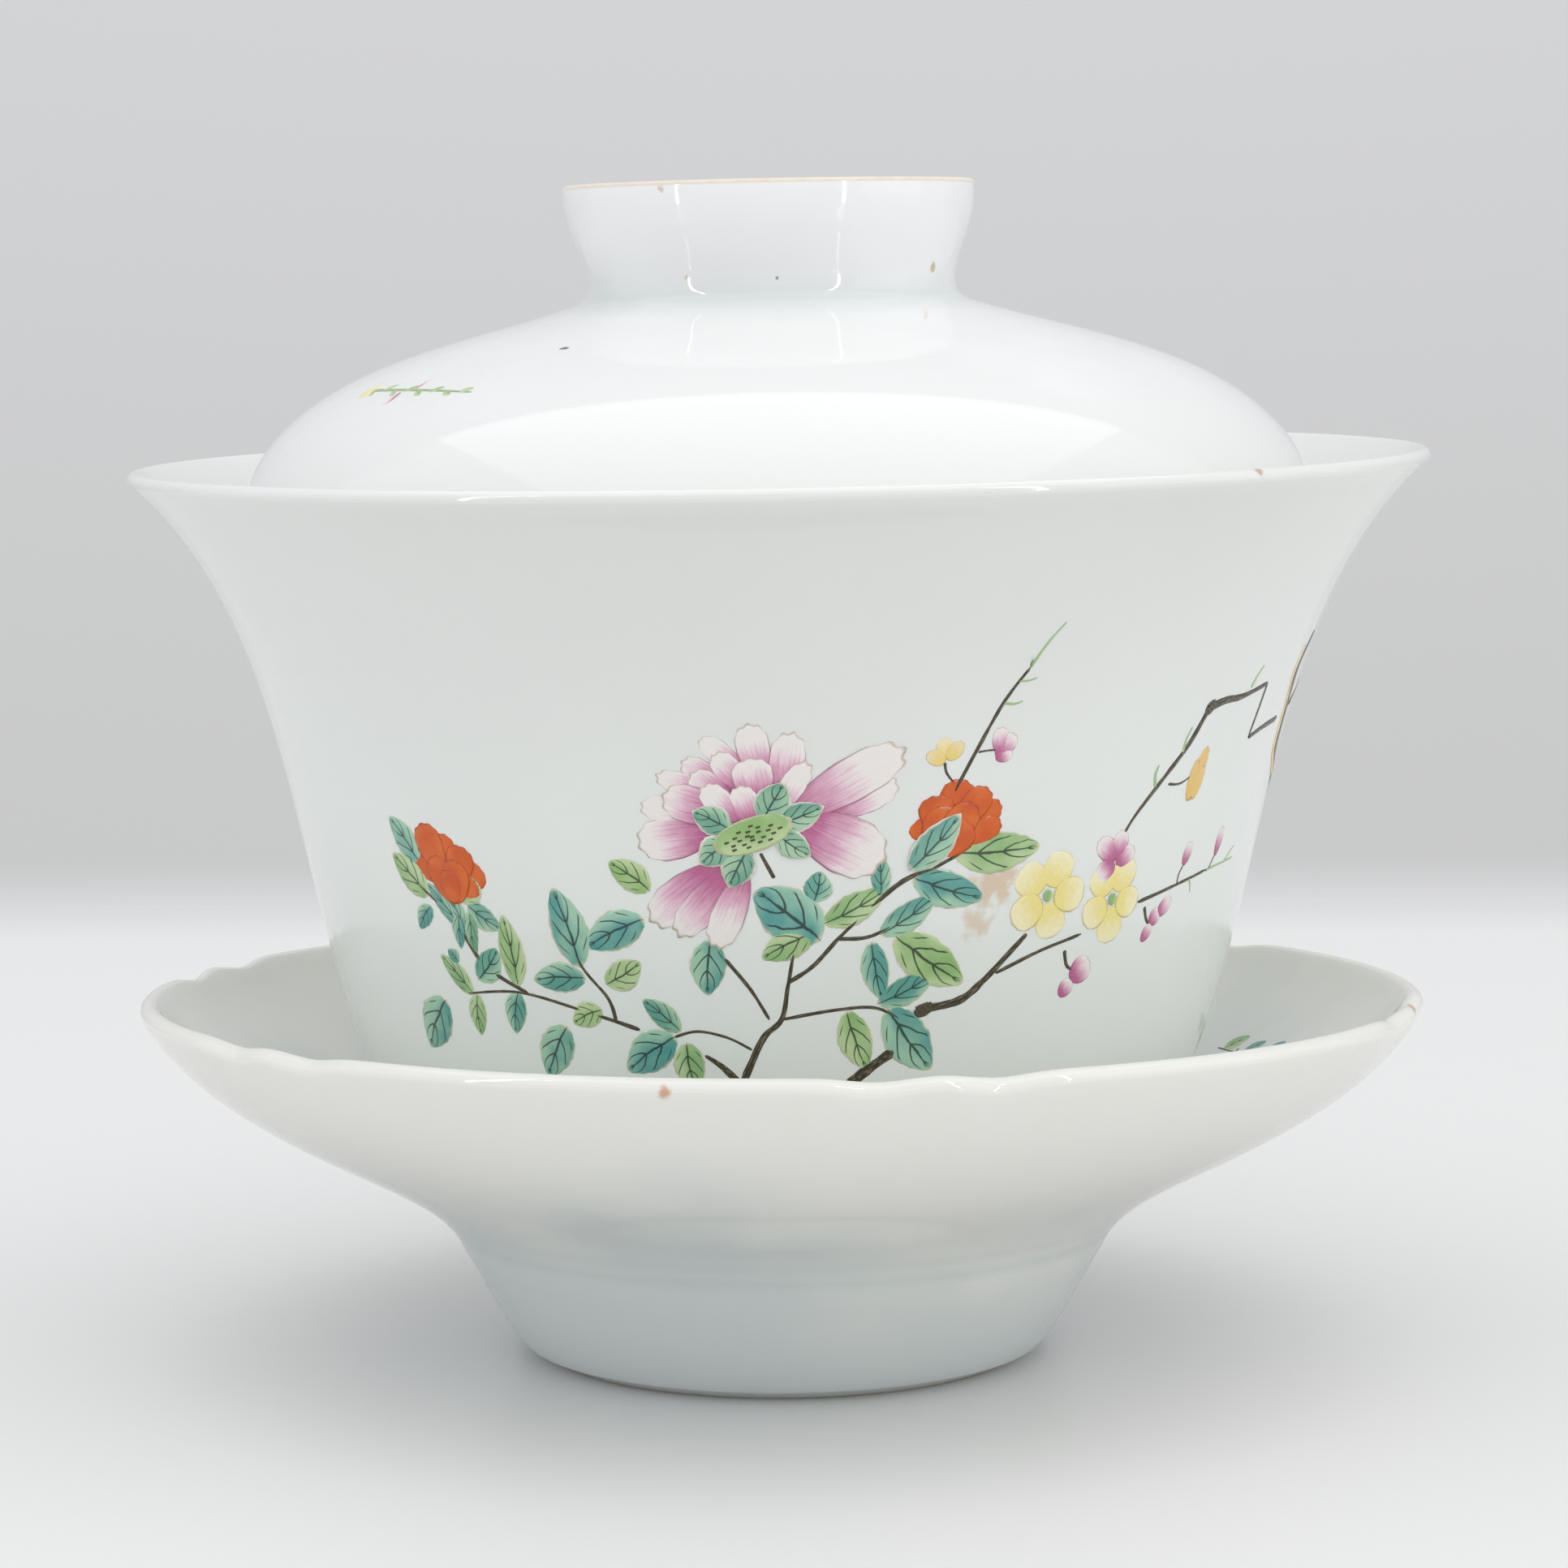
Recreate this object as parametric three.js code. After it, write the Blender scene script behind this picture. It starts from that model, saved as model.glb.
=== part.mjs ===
// A lidded porcelain tea bowl on its deep saucer (a gaiwan), upright and closed.
// Millimetres, +Z up, origin at the centre of the saucer's base.
// Three separately fired pieces: the saucer stands on the table, the bowl's foot ring sits in the saucer's
// well, and the lid's edge sits inside the bowl's flared mouth.
import * as THREE from 'three';
import { mergeVertices } from 'three/addons/utils/BufferGeometryUtils.js';

// Gaps between pieces that touch
const seatGap = 0.3;
const wellClearance = 1.5;
const wellLipDrop = 0.6;
const lidClearance = 0.4;

// Softened corners: on a foot's or rim's edge, and where a recess or hollow meets its wall
const edgeRound = 0.6;
const recessRound = 0.8;
const footDraft = 0.4;

// Bowl
const bowlRimRadius = 54.8;
const bowlHeight = 69.5;
const bowlWall = 2.2;
const bowlLip = 1.5;
const bowlWaistRadius = 35.2;
const bowlWaistHeight = 18.2;
const bowlFootRadius = 21.5;
const bowlFootHeight = 4.8;
const bowlFootRing = 3;
const bowlFootRecess = 4;
const bowlFloor = 3.2;
const bowlFloorRound = 4;
const bowlFloorDish = 0.4;

// Lid
const lidSeatDepth = 8.4;
const lidRise = 21.8;
const lidWall = 2.2;
const lidEdgeDrop = 1.2;
const lidEdgeFlat = 0.7;
const knobBaseRadius = 17;
const knobWaistRadius = 15.5;
const knobRimRadius = 17.4;
const knobWaistHeight = 1.5;
const knobFlareHeight = 5.3;
const knobBandHeight = 7.9;
const knobHeight = 10.1;
const knobWall = 2.6;
const knobCupDepth = 7.4;

// Saucer
const saucerRimRadius = 54.6;
const saucerHeight = 30.8;
const saucerWall = 2.8;
const saucerLip = 1.9;
const saucerWellFloor = 6.5;
const saucerFootWall = 4.2;
const saucerFootTaper = 4.6;
const saucerFootHeight = 9.3;
const saucerFootRing = 3.2;
const saucerFootRecess = 3.4;
const saucerShoulder = 0.8;
const dishTuckRadius = 4;
const dishTuckDrop = 8.2;
const wellLipRound = 1.2;

// Saucer's lobed rim: small raised points, with a notch on each side of each, and long arcs between
const lobeCount = 6;
const lobeTurn = 14;
const notchAngle = 5;
const notchDepth = 1;
const notchDrop = 0.5;
const lobeReach = 9;

const roundSegments = 48;
const lobedSegments = 72;

const point = (radius, height) => new THREE.Vector2(radius, height);

// Points along a cubic curve in the radius-height plane
function curve(start, startHandle, endHandle, end, steps) {
  return new THREE.CubicBezierCurve(start, startHandle, endHandle, end).getPoints(steps);
}

// The same outline moved to its left by a wall that changes evenly from its start to its end
function inset(outline, wallAtStart, wallAtEnd) {
  const last = outline.length - 1;
  return outline.map((p, i) => {
    const before = outline[Math.max(i - 1, 0)];
    const after = outline[Math.min(i + 1, last)];
    const along = after.clone().sub(before).normalize();
    const wall = THREE.MathUtils.lerp(wallAtStart, wallAtEnd, i / last);
    return point(p.x - along.y * wall, p.y + along.x * wall);
  });
}

// Radius of a rising outline at a height
function radiusAt(outline, height) {
  const i = outline.findIndex((p) => p.y >= height);
  const [a, b] = [outline[i - 1], outline[i]];
  return a.x + ((height - a.y) / (b.y - a.y)) * (b.x - a.x);
}

// Half-round lip between the ends of an outer and an inner outline
function lip(outer, inner, steps) {
  const centre = outer.clone().add(inner).multiplyScalar(0.5);
  const radius = outer.distanceTo(inner) / 2;
  const start = Math.atan2(outer.y - centre.y, outer.x - centre.x);
  const points = [];
  for (let i = 1; i < steps; i += 1) {
    const angle = start + (Math.PI * i) / steps;
    points.push(point(centre.x + radius * Math.cos(angle), centre.y + radius * Math.sin(angle)));
  }
  return points;
}

// Closed solid of revolution about +Z from an outline that starts and ends on the axis
function revolve(outline, segments, turnDegrees = 0) {
  const turned = new THREE.LatheGeometry(outline, segments);
  turned.rotateX(Math.PI / 2);
  turned.rotateZ(THREE.MathUtils.degToRad(turnDegrees));
  turned.deleteAttribute('normal');
  turned.deleteAttribute('uv');
  return dropSlivers(mergeVertices(turned, 1e-4));
}

// Faces that shrank to a line on the axis are left out
function dropSlivers(geometry) {
  const corners = geometry.index.array;
  const kept = [];
  for (let i = 0; i < corners.length; i += 3) {
    const [a, b, c] = [corners[i], corners[i + 1], corners[i + 2]];
    if (a !== b && b !== c && c !== a) kept.push(a, b, c);
  }
  geometry.setIndex(kept);
  return geometry;
}

// Draws the saucer's rim in and down at the notches, fading out towards the dish
function shapeRim(geometry) {
  const places = geometry.getAttribute('position');
  for (let i = 0; i < places.count; i += 1) {
    const [x, y, z] = [places.getX(i), places.getY(i), places.getZ(i)];
    const radius = Math.hypot(x, y);
    const reach = THREE.MathUtils.smoothstep(radius, saucerRimRadius - lobeReach, saucerRimRadius);
    const fromFront = THREE.MathUtils.radToDeg(Math.atan2(x, -y)) - lobeTurn;
    const pitch = 360 / lobeCount;
    const fromPoint = Math.abs(fromFront - pitch * Math.round(fromFront / pitch));
    const notch = reach * Math.exp(-(((fromPoint - notchAngle) / notchAngle) ** 2) * 3);
    const narrower = 1 - (notchDepth * notch) / Math.max(radius, 1);
    places.setXYZ(i, x * narrower, y * narrower, z - notchDrop * notch);
  }
  return geometry;
}

function piece(name, geometry, material) {
  geometry.computeVertexNormals();
  const mesh = new THREE.Mesh(geometry, material);
  mesh.name = name;
  return mesh;
}

function porcelain(colour) {
  return new THREE.MeshStandardMaterial({ color: colour, roughness: 0.12, metalness: 0 });
}

// Bowl: outer wall from the foot ring's top, round the belly, up the side and out to the flared lip
const bowlBase = saucerWellFloor + seatGap;
const bowlRimHeight = bowlBase + bowlHeight;
const bowlWaist = point(bowlWaistRadius, bowlBase + bowlWaistHeight);
const bowlSideTop = bowlRimHeight - bowlLip / 2;
const bowlSideRise = bowlSideTop - bowlWaist.y;
const bowlFlare = bowlRimRadius - bowlWaistRadius;
const bellySpread = bowlWaistRadius - bowlFootRadius;
const bellyRise = bowlWaistHeight - bowlFootHeight;

const bowlBelly = curve(
  point(bowlFootRadius, bowlBase + bowlFootHeight),
  point(bowlFootRadius + 0.4 * bellySpread, bowlBase + bowlFootHeight + 0.14 * bellyRise),
  point(bowlWaistRadius - 0.2 * bellySpread, bowlWaist.y - 0.48 * bellyRise),
  bowlWaist,
  4,
);
const bowlSide = curve(
  bowlWaist,
  point(bowlWaistRadius + 0.32 * bowlFlare, bowlWaist.y + 0.29 * bowlSideRise),
  point(bowlWaistRadius + 0.31 * bowlFlare, bowlWaist.y + 0.76 * bowlSideRise),
  point(bowlRimRadius, bowlSideTop),
  9,
);
const bowlOutside = [...bowlBelly, ...bowlSide.slice(1)];
const bowlInside = inset(bowlOutside, bowlWall, bowlLip);
const bowlFloorHeight = bowlBase + bowlFootRecess + bowlFloor;

function makeBowl() {
  const ringInner = bowlFootRadius - bowlFootRing;
  const recess = bowlBase + bowlFootRecess;
  const hollow = bowlInside.filter((p) => p.y > bowlFloorHeight + 3 * bowlFloorDish);
  const outline = [
    point(0, recess),
    point(ringInner - recessRound, recess),
    point(ringInner, recess - recessRound),
    point(ringInner + footDraft, bowlBase),
    point(bowlFootRadius - edgeRound, bowlBase),
    point(bowlFootRadius, bowlBase + edgeRound),
    ...bowlOutside,
    ...lip(bowlOutside.at(-1), bowlInside.at(-1), 3),
    ...hollow.toReversed(),
    point(hollow[0].x - bowlFloorRound, bowlFloorHeight + bowlFloorDish),
    point(0, bowlFloorHeight),
  ];
  return piece('bowl', revolve(outline, roundSegments), porcelain('#d8dbd6'));
}

// Lid: its widest point stands where the bowl's inner wall leaves the lid's clearance
const lidEdgeHeight = bowlRimHeight - lidSeatDepth;
const lidEdgeRadius = radiusAt(bowlInside, lidEdgeHeight) - lidClearance;
const lidTop = lidEdgeHeight + lidRise;

const lidDome = curve(
  point(knobBaseRadius, lidTop),
  point(knobBaseRadius + 0.37 * (lidEdgeRadius - knobBaseRadius), lidTop - 0.17 * lidRise),
  point(lidEdgeRadius - 0.4, lidTop - 0.22 * lidRise),
  point(lidEdgeRadius, lidEdgeHeight),
  9,
).toReversed();

function makeLid() {
  const underside = inset(lidDome, lidWall, lidWall);
  const edgeBottom = lidEdgeHeight - lidEdgeDrop;
  const edgeBottomRadius = radiusAt(bowlInside, edgeBottom) - lidClearance;
  const knobTop = lidTop + knobHeight;
  const cupRadius = knobRimRadius - knobWall;
  const cupBase = knobWaistRadius - knobWall;
  const cupFloor = knobTop - knobCupDepth;
  const outline = [
    point(0, underside.at(-1).y + edgeRound),
    ...underside.toReversed(),
    point(edgeBottomRadius - lidEdgeFlat, edgeBottom),
    point(edgeBottomRadius, edgeBottom),
    ...lidDome,
    point(knobWaistRadius, lidTop + knobWaistHeight),
    point((knobWaistRadius + knobRimRadius) / 2, lidTop + knobFlareHeight),
    point(knobRimRadius, lidTop + knobBandHeight),
    point(knobRimRadius, knobTop - edgeRound),
    point(knobRimRadius - edgeRound, knobTop),
    point(cupRadius + edgeRound, knobTop),
    point(cupRadius, knobTop - edgeRound),
    point(cupBase, cupFloor + recessRound),
    point(cupBase - recessRound, cupFloor),
    point(0, cupFloor),
  ];
  return piece('lid', revolve(outline, roundSegments), porcelain('#e3e6e4'));
}

// Saucer: the well takes the bowl's foot, the tall foot follows the well, and the dish passes under the
// bowl's belly before it spreads
const wellRadius = bowlFootRadius + wellClearance;
const saucerStemRadius = wellRadius + saucerFootWall;
const saucerFootRadius = saucerStemRadius - saucerFootTaper;

function makeSaucer() {
  const spread = saucerRimRadius - saucerStemRadius;
  const rimTop = saucerHeight - saucerLip / 2;
  const rise = rimTop - saucerFootHeight;
  const dishUnderside = curve(
    point(saucerStemRadius + saucerShoulder, saucerFootHeight + saucerShoulder / 2),
    point(bowlWaist.x - dishTuckRadius, bowlWaist.y - dishTuckDrop),
    point(saucerStemRadius + 0.76 * spread, saucerFootHeight + 0.47 * rise),
    point(saucerRimRadius, rimTop),
    8,
  );
  const dish = inset(dishUnderside, saucerWall, saucerLip);
  const foot = curve(
    point(saucerFootRadius, edgeRound),
    point(saucerFootRadius + 0.33 * saucerFootTaper, 0.27 * saucerFootHeight),
    point(saucerFootRadius + 0.7 * saucerFootTaper, 0.66 * saucerFootHeight),
    point(saucerStemRadius, saucerFootHeight - saucerShoulder),
    3,
  );
  const ringInner = saucerFootRadius - saucerFootRing;
  const lipHeight = bowlBase + bowlFootHeight - wellLipDrop;
  const outline = [
    point(0, saucerFootRecess),
    point(ringInner - recessRound, saucerFootRecess),
    point(ringInner, saucerFootRecess - recessRound),
    point(ringInner + footDraft, 0),
    point(saucerFootRadius - edgeRound, 0),
    ...foot,
    ...dishUnderside,
    ...lip(dishUnderside.at(-1), dish.at(-1), 3),
    ...dish.filter((p) => p.y > lipHeight + wellLipRound).toReversed(),
    point(wellRadius + wellLipRound, lipHeight),
    point(wellRadius, lipHeight - wellLipRound),
    point(wellRadius, saucerWellFloor + edgeRound),
    point(wellRadius - edgeRound, saucerWellFloor),
    point(0, saucerWellFloor),
  ];
  const turned = revolve(outline, lobedSegments, lobeTurn);
  return piece('saucer', shapeRim(turned), porcelain('#d6d8d3'));
}

const gaiwan = new THREE.Group();
gaiwan.add(makeSaucer(), makeBowl(), makeLid());

export default gaiwan;
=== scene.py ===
import bisect
import math

import bmesh
import bpy
from mathutils import Matrix, Vector, geometry, noise


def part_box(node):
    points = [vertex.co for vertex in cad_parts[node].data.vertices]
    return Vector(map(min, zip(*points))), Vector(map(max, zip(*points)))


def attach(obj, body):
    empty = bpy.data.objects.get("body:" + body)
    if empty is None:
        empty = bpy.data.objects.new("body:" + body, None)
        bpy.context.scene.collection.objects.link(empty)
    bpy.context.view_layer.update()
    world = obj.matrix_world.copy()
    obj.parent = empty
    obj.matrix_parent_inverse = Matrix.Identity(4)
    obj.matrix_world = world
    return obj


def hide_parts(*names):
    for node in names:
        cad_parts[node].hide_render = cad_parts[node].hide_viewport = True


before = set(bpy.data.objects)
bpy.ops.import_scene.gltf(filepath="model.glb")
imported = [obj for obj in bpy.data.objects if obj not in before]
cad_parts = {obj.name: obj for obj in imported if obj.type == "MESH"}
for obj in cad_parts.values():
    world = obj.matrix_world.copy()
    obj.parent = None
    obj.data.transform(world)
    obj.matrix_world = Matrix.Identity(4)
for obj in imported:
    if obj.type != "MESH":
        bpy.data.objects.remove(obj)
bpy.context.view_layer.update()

# CAMERA
# A long lens a little above the bowl's rim and close to it, tipped down by about five degrees, with the
# gaiwan standing upright in the middle of a square picture.
mm = 0.001
camera_aside = 0.3 * mm
camera_height = 81.5 * mm
camera_away = 350 * mm
camera_tip = 5.36
camera_roll = -0.35
camera_film = 36
camera_lens = 94

camera = bpy.data.objects.new("camera", bpy.data.cameras.new("camera"))
camera.data.sensor_width = camera_film
camera.data.lens = camera_lens
camera.data.clip_start = 0.02
camera.matrix_world = (
    Matrix.Translation((camera_aside, -camera_away, camera_height))
    @ Matrix.Rotation(math.radians(90 - camera_tip), 4, "X")
    @ Matrix.Rotation(math.radians(camera_roll), 4, "Z")
)
bpy.context.scene.collection.objects.link(camera)
bpy.context.scene.camera = camera
bpy.context.scene.view_settings.view_transform = "Standard"

# TABLE AND BACKDROP
# A pale satin table top whose far edge lies a foot behind the gaiwan, and a plain grey paper wall well
# behind it. The far edge is painted to melt into the wall.
table_back = 0.314
table_front = -1.2
table_half_width = 1.4
table_fade = 0.05
wall_away = 1.3
wall_half_width = 2.5
wall_line = -0.121


def smooth_object(name, clay, material):
    """Makes a finished object of a bmesh, shaded smooth."""
    mesh = bpy.data.meshes.new(name)
    clay.to_mesh(mesh)
    clay.free()
    mesh.shade_smooth()
    mesh.materials.append(material)
    made = bpy.data.objects.new(name, mesh)
    bpy.context.scene.collection.objects.link(made)
    return made


def node(material, kind, inputs, **settings):
    """Adds a node; each input is a value or another node's output."""
    made = material.node_tree.nodes.new("ShaderNode" + kind)
    for name, value in settings.items():
        setattr(made, name, value)
    for socket, value in inputs.items():
        if isinstance(value, bpy.types.NodeSocket):
            material.node_tree.links.new(value, made.inputs[socket])
        else:
            made.inputs[socket].default_value = value
    return made


def surface(name, roughness):
    """A new material with its shader's roughness set."""
    material = bpy.data.materials.new(name)
    material.use_nodes = True
    shader = material.node_tree.nodes["Principled BSDF"]
    shader.inputs["Roughness"].default_value = roughness
    return material


def join(material, socket, value):
    """Links a value into the material's shader."""
    shader = material.node_tree.nodes["Principled BSDF"]
    material.node_tree.links.new(value, shader.inputs[socket])


def calc(material, operation, *numbers):
    """Arithmetic on numbers or other nodes' outputs."""
    return node(material, "Math", dict(enumerate(numbers)), operation=operation).outputs[0]


def object_place(material):
    """A point's place on the object, in metres."""
    return node(material, "TexCoord", {}).outputs["Object"]


def eased(material, value, start, end):
    """0 at start, 1 at end, with a soft step between."""
    limits = {"Value": value, "From Min": start, "From Max": end}
    step = node(material, "MapRange", limits, interpolation_type="SMOOTHSTEP")
    return step.outputs["Result"]


def blend(material, share, first, second):
    """The first colour at a share of 0, the second at 1."""
    mixed = node(material, "Mix", {0: share, 6: first, 7: second}, data_type="RGBA")
    return mixed.outputs[2]


def tint(red, green, blue):
    """A paint chip's red, green and blue, out of 255, as light."""
    return (*((part / 255) ** 2.2 for part in (red, green, blue)), 1)


table_colour = tint(231, 231, 231)
# painted shade: the plain wall is painted darker towards the bottom and lighter at the top, for the light
# falling off down the paper
wall_high_painted_light = tint(214, 214, 216)
wall_low_painted_shade = tint(203, 203, 203)
wall_foot = tint(226, 226, 228)
melted_edge = tint(215, 215, 216)

table_finish = surface("table_top_paint", 0.38)
place = node(table_finish, "SeparateXYZ", {0: object_place(table_finish)})
far = eased(table_finish, place.outputs["Y"], table_back - table_fade, table_back)
join(table_finish, "Base Color", blend(table_finish, far, table_colour, melted_edge))
wall_finish = surface("backdrop_paper", 0.9)
place = node(wall_finish, "SeparateXYZ", {0: object_place(wall_finish)})
# painted shade: the wall's colour blends with height from the darker low grey to the lighter high grey
height = eased(wall_finish, place.outputs["Z"], -0.1, 0.35)
near = eased(wall_finish, place.outputs["Z"], wall_line + 0.02, wall_line - 0.01)
wall_colour = blend(wall_finish, height, wall_low_painted_shade, wall_high_painted_light)
join(wall_finish, "Base Color", blend(wall_finish, near, wall_colour, wall_foot))

sheet = bmesh.new()
bmesh.ops.create_grid(sheet, x_segments=2, y_segments=2, size=1)
for corner_point in sheet.verts:
    corner_point.co.x *= table_half_width
    corner_point.co.y = table_front + (table_back - table_front) * (corner_point.co.y + 1) / 2
smooth_object("table_top", sheet, table_finish)

sheet = bmesh.new()
bmesh.ops.create_grid(sheet, x_segments=1, y_segments=1, size=wall_half_width)
upright = Matrix.Rotation(math.radians(90), 3, "X")
bmesh.ops.rotate(sheet, verts=sheet.verts, cent=(0, 0, 0), matrix=upright)
bmesh.ops.translate(sheet, verts=sheet.verts, vec=(0, wall_away, 0))
smooth_object("backdrop", sheet, wall_finish)

# LAMPS
# A wide soft box overhead, a weak cool window on the left, a stronger one on the right and a low fill in
# front. Two narrow strips show only in reflections: they draw the thin upright lines of light on the knob.
white_light = (1, 1, 1)
cool_light = (0.6, 0.82, 1)
warm_light = (1, 1, 0.99)
strip_height = 0.29
strip_width = 0.009
strip_length = 0.56
room_light = 0.88


def soft_lamp(name, place, aim, width, depth, power, colour):
    """A rectangular lamp that faces the place it is aimed at."""
    lamp = bpy.data.lights.new(name, "AREA")
    lamp.shape = "RECTANGLE"
    lamp.size = width
    lamp.size_y = depth
    lamp.energy = power
    lamp.color = colour
    lit = bpy.data.objects.new(name, lamp)
    lit.location = place
    lit.rotation_mode = "QUATERNION"
    lit.rotation_quaternion = (Vector(aim) - Vector(place)).to_track_quat("-Z", "Y")
    bpy.context.scene.collection.objects.link(lit)
    return lit


soft_lamp("overhead_box", (0, -0.1, 1.0), (0, 0, 0), 1.5, 1.3, 4.5, white_light)
soft_lamp("window_left", (-1.0, -0.35, 0.35), (0, 0, 0.05), 0.8, 0.8, 0.25, cool_light)
soft_lamp("window_right", (1.0, -0.3, 0.4), (0, 0, 0.05), 0.8, 0.8, 1.0, warm_light)
soft_lamp("front_fill", (0, -1.0, 0.3), (0, 0, 0.04), 0.9, 0.3, 0.2, white_light)
for name, side, front, power in (("strip_left", -0.35, -0.285, 0.5), ("strip_right", 0.3, -0.335, 0.8)):
    place, aim = (side, front, strip_height), (0, 0, strip_height)
    strip = soft_lamp(name, place, aim, strip_width, strip_length, power, white_light)
    strip.visible_diffuse = False

world = bpy.data.worlds.new("studio")
world.use_nodes = True
world.node_tree.nodes["Background"].inputs["Color"].default_value = (0.99, 0.995, 1, 1)
world.node_tree.nodes["Background"].inputs["Strength"].default_value = room_light
bpy.context.scene.world = world

# SAUCER
# One piece of thrown white porcelain: a tall hollow foot with a well inside for the bowl, and a deep dish
# whose rim is cut into six bracket lobes. Clear glaze covers all but the edge it stands on.
saucer_wall = 2.7 * mm
saucer_lip = 1.7 * mm
stem_height = 8.7 * mm
saucer_foot_radius = 22.6 * mm
saucer_foot_ring = 3.2 * mm
saucer_recess = 3.4 * mm
ring_bevel = 0.8 * mm
ring_taper = 0.4 * mm
foot_bevel = 2 * mm
well_radius = 23 * mm
well_floor = 6.5 * mm
well_lip = 11 * mm
well_bevel = 1.2 * mm
dish_height = 21.5 * mm
lobes = 6
first_lobe = 12.5
lobes_begin = 46 * mm
lobes_grow = 9 * mm
notch_turn = 5
notch_reach = 3.2
notch_cut = 0.7 * mm
notch_dip = 0.65 * mm
saucer_lean = math.tan(math.radians(1))
straight = math.radians(165)
full_height = 0.1


def drawn_curve(knots, steps):
    """Points along cubic curves of radius and height in mm, given as knot, handle, handle, knot."""
    run = []
    for start in range(0, len(knots) - 1, 3):
        first, leave, arrive, last = (Vector((r * mm, 0, z * mm)) for r, z in knots[start:start + 4])
        stretch = geometry.interpolate_bezier(first, leave, arrive, last, steps)
        run += stretch[1:] if run else stretch
    return run


def inner_wall(outside, thick_start, thick_end):
    """The same line moved inwards by a wall that changes evenly along it."""
    inside = []
    for step, place in enumerate(outside):
        before = outside[max(step - 1, 0)]
        after = outside[min(step + 1, len(outside) - 1)]
        along = (after - before).normalized()
        thick = thick_start + (thick_end - thick_start) * step / (len(outside) - 1)
        inside.append(place + Vector((-along.z, 0, along.x)) * thick)
    return inside


def rounded(outer_end, inner_end, steps=8):
    """The half-round lip that joins an outer and an inner wall."""
    middle = (outer_end + inner_end) / 2
    spoke = outer_end - middle
    turns = (Matrix.Rotation(-math.pi * step / steps, 3, "Y") for step in range(1, steps))
    return [middle + turn @ spoke for turn in turns]


def corner(radius, height):
    """A point of an outline, radius and height in metres."""
    return Vector((radius, 0, height))


def softened_corners(outline, reach):
    """Rounds every sharp corner of a drawn outline by a short curve."""
    soft = [outline[0]]
    for before, place, after in zip(outline, outline[1:], outline[2:]):
        leave, arrive = before - place, after - place
        bend = leave.angle(arrive, math.pi)
        room = min(reach, leave.length / 2, arrive.length / 2)
        if bend > straight or room < 0.05 * mm:
            soft.append(place)
            continue
        start = place + leave.normalized() * room
        end = place + arrive.normalized() * room
        soft += geometry.interpolate_bezier(start, place, place, end, 5)
    return soft + [outline[-1]]


def thrown(outline, turns, warp, is_bare, pooled):
    """Spins an outline into clay, marks where glaze is missing or thick and how high, and warps it."""
    clay = bmesh.new()
    points = [clay.verts.new(place) for place in outline]
    edges = [clay.edges.new(pair) for pair in zip(points, points[1:])]
    wire = points + edges
    bmesh.ops.spin(clay, geom=wire, axis=(0, 0, 1), angle=math.tau, steps=turns, use_merge=True)
    bmesh.ops.remove_doubles(clay, verts=clay.verts, dist=0.001 * mm)
    bmesh.ops.recalc_face_normals(clay, faces=clay.faces)
    marks = clay.verts.layers.float_color.new("glaze")
    for point in clay.verts:
        radius, height = math.hypot(point.co.x, point.co.y), point.co.z
        point[marks] = (float(is_bare(radius, height)), pooled(radius, height), height / full_height, 1)
    for point in clay.verts:
        point.co = warp(point.co)
    return clay


def hollow(value, middle, reach):
    """1 at the middle, fading to nothing at the given reach on either side."""
    return max(0, 1 - abs(value - middle) / reach)


def saucer_warp(place):
    """Where the potter's lobes and the kiln carry a point of the round saucer."""
    radius = math.hypot(place.x, place.y)
    reach = min(max((radius - lobes_begin) / lobes_grow, 0), 1)
    reach *= reach
    turn = math.degrees(math.atan2(place.x, -place.y)) - first_lobe
    from_point = abs(turn - 360 / lobes * round(turn / (360 / lobes)))
    notch = reach * math.exp(-(((from_point - notch_turn) / notch_reach) ** 2))
    shrink = 1 - notch_cut * notch / max(radius, mm)
    raised = min(max((place.z - stem_height) / dish_height, 0), 1)
    lift = -notch_dip * notch - saucer_lean * place.y * raised
    return Vector((place.x * shrink, place.y * shrink, place.z + lift))


saucer_foot = drawn_curve([(22.6, 0.95), (24.1, 2.5), (25.8, 6.1), (27.2, 8.5)], 12)
dish_underside = drawn_curve([(27.9, 9.7), (31.2, 16.8), (48, 19), (54.6, 29.85)], 44)
dish_inside = inner_wall(dish_underside, saucer_wall, saucer_lip)
ring_inside = saucer_foot_radius - saucer_foot_ring
saucer_outline = softened_corners(
    [
        corner(0, saucer_recess),
        corner(ring_inside - ring_bevel, saucer_recess),
        corner(ring_inside, saucer_recess - ring_bevel),
        corner(ring_inside + ring_taper, 0),
        corner(saucer_foot_radius - foot_bevel, 0),
        *saucer_foot,
        *dish_underside,
        *rounded(dish_underside[-1], dish_inside[-1]),
        *(place for place in reversed(dish_inside) if place.z > well_lip + well_bevel),
        corner(well_radius + well_bevel, well_lip),
        corner(well_radius, well_lip - well_bevel),
        corner(well_radius, well_floor),
        corner(0, well_floor),
    ],
    0.5 * mm,
)


def foot_groove(height):
    """Glaze gathers in two faint lines where the foot was joined to the dish."""
    return 0.8 * hollow(height, 11.1 * mm, 0.7 * mm) + 0.5 * hollow(height, 12.7 * mm, 0.7 * mm)


saucer_clay = thrown(
    saucer_outline,
    360,
    saucer_warp,
    lambda radius, height: height < 0.1 * mm,
    lambda radius, height: foot_groove(height) if radius > 26 * mm else 0,
)


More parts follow.
